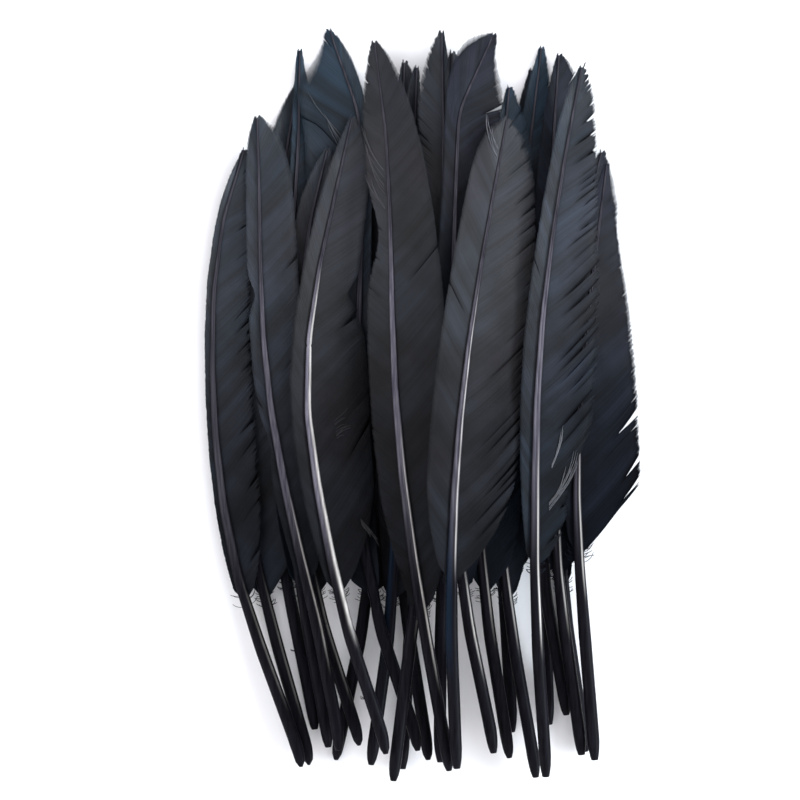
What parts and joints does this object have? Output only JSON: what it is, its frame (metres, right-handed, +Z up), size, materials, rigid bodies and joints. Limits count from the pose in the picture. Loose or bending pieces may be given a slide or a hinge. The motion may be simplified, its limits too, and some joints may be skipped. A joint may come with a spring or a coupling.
{
  "type": "bundle of quill feathers",
  "caption": "Loose pile of uncut goose wing quills dyed black, lower vanes stripped, for cutting into quill pens; each lifts off the pile.",
  "frame": {"origin": "middle of the pile's footprint, on the surface it lies on", "axes": "+X across the pile, +Y from the butts towards the feather tips, +Z up"},
  "size_m": [0.175, 0.3026, 0.0387],
  "materials": {
    "horn": "dyed keratin, glossy on the barrel and dull lavender grey along the grooved side",
    "barbs": "dyed feather barbs, near black with a slate sheen and a teal cast at the tips"
  },
  "bodies": {
    "quill_11": {"quill_11_shaft": "horn", "quill_11_vane": "barbs"},
    "quill_13": {"quill_13_shaft": "horn", "quill_13_vane": "barbs"},
    "quill_26": {"quill_26_shaft": "horn", "quill_26_vane": "barbs"},
    "quill_03": {"quill_03_shaft": "horn", "quill_03_vane": "barbs"},
    "quill_02": {"quill_02_shaft": "horn", "quill_02_vane": "barbs"},
    "quill_06": {"quill_06_shaft": "horn", "quill_06_vane": "barbs"},
    "quill_08": {"quill_08_shaft": "horn", "quill_08_vane": "barbs"},
    "quill_14": {"quill_14_shaft": "horn", "quill_14_vane": "barbs"},
    "quill_19": {"quill_19_shaft": "horn", "quill_19_vane": "barbs"},
    "quill_20": {"quill_20_shaft": "horn", "quill_20_vane": "barbs"},
    "quill_18": {"quill_18_shaft": "horn", "quill_18_vane": "barbs"},
    "quill_22": {"quill_22_shaft": "horn", "quill_22_vane": "barbs"},
    "quill_23": {"quill_23_shaft": "horn", "quill_23_vane": "barbs"},
    "quill_24": {"quill_24_shaft": "horn", "quill_24_vane": "barbs"},
    "quill_25": {"quill_25_shaft": "horn", "quill_25_vane": "barbs"},
    "quill_12": {"quill_12_shaft": "horn", "quill_12_vane": "barbs"},
    "quill_04": {"quill_04_shaft": "horn", "quill_04_vane": "barbs"},
    "quill_01": {"quill_01_shaft": "horn", "quill_01_vane": "barbs"},
    "quill_10": {"quill_10_shaft": "horn", "quill_10_vane": "barbs"},
    "quill_17": {"quill_17_shaft": "horn", "quill_17_vane": "barbs"},
    "quill_07": {"quill_07_shaft": "horn", "quill_07_vane": "barbs"},
    "quill_05": {"quill_05_shaft": "horn", "quill_05_vane": "barbs"},
    "quill_09": {"quill_09_shaft": "horn", "quill_09_vane": "barbs"},
    "quill_15": {"quill_15_shaft": "horn", "quill_15_vane": "barbs"},
    "quill_16": {"quill_16_shaft": "horn", "quill_16_vane": "barbs"},
    "quill_21": {"quill_21_shaft": "horn", "quill_21_vane": "barbs"}
  },
  "joints": [
    {"name": "lift_quill_13", "type": "slide", "parent": "quill_11", "child": "quill_13", "axis": [0, 0, 1], "range_m": [0, 0.04]},
    {"name": "lift_quill_26", "type": "slide", "parent": "quill_13", "child": "quill_26", "axis": [0, 0, 1], "range_m": [0, 0.04]},
    {"name": "lift_quill_03", "type": "slide", "parent": "quill_26", "child": "quill_03", "axis": [0, 0, 1], "range_m": [0, 0.04]},
    {"name": "lift_quill_02", "type": "slide", "parent": "quill_03", "child": "quill_02", "axis": [0, 0, 1], "range_m": [0, 0.04]},
    {"name": "lift_quill_06", "type": "slide", "parent": "quill_02", "child": "quill_06", "axis": [0, 0, 1], "range_m": [0, 0.04]},
    {"name": "lift_quill_08", "type": "slide", "parent": "quill_06", "child": "quill_08", "axis": [0, 0, 1], "range_m": [0, 0.04]},
    {"name": "lift_quill_14", "type": "slide", "parent": "quill_08", "child": "quill_14", "axis": [0, 0, 1], "range_m": [0, 0.04]},
    {"name": "lift_quill_19", "type": "slide", "parent": "quill_14", "child": "quill_19", "axis": [0, 0, 1], "range_m": [0, 0.04]},
    {"name": "lift_quill_20", "type": "slide", "parent": "quill_19", "child": "quill_20", "axis": [0, 0, 1], "range_m": [0, 0.04]},
    {"name": "lift_quill_18", "type": "slide", "parent": "quill_20", "child": "quill_18", "axis": [0, 0, 1], "range_m": [0, 0.04]},
    {"name": "lift_quill_22", "type": "slide", "parent": "quill_18", "child": "quill_22", "axis": [0, 0, 1], "range_m": [0, 0.04]},
    {"name": "lift_quill_23", "type": "slide", "parent": "quill_22", "child": "quill_23", "axis": [0, 0, 1], "range_m": [0, 0.04]},
    {"name": "lift_quill_24", "type": "slide", "parent": "quill_23", "child": "quill_24", "axis": [0, 0, 1], "range_m": [0, 0.04]},
    {"name": "lift_quill_25", "type": "slide", "parent": "quill_24", "child": "quill_25", "axis": [0, 0, 1], "range_m": [0, 0.04]},
    {"name": "lift_quill_12", "type": "slide", "parent": "quill_25", "child": "quill_12", "axis": [0, 0, 1], "range_m": [0, 0.04]},
    {"name": "lift_quill_04", "type": "slide", "parent": "quill_12", "child": "quill_04", "axis": [0, 0, 1], "range_m": [0, 0.04]},
    {"name": "lift_quill_01", "type": "slide", "parent": "quill_04", "child": "quill_01", "axis": [0, 0, 1], "range_m": [0, 0.04]},
    {"name": "lift_quill_10", "type": "slide", "parent": "quill_01", "child": "quill_10", "axis": [0, 0, 1], "range_m": [0, 0.04]},
    {"name": "lift_quill_17", "type": "slide", "parent": "quill_10", "child": "quill_17", "axis": [0, 0, 1], "range_m": [0, 0.04]},
    {"name": "lift_quill_07", "type": "slide", "parent": "quill_17", "child": "quill_07", "axis": [0, 0, 1], "range_m": [0, 0.04]},
    {"name": "lift_quill_05", "type": "slide", "parent": "quill_07", "child": "quill_05", "axis": [0, 0, 1], "range_m": [0, 0.04]},
    {"name": "lift_quill_09", "type": "slide", "parent": "quill_05", "child": "quill_09", "axis": [0, 0, 1], "range_m": [0, 0.04]},
    {"name": "lift_quill_15", "type": "slide", "parent": "quill_09", "child": "quill_15", "axis": [0, 0, 1], "range_m": [0, 0.04]},
    {"name": "lift_quill_16", "type": "slide", "parent": "quill_15", "child": "quill_16", "axis": [0, 0, 1], "range_m": [0, 0.04]},
    {"name": "lift_quill_21", "type": "slide", "parent": "quill_16", "child": "quill_21", "axis": [0, 0, 1], "range_m": [0, 0.04]}
  ]
}
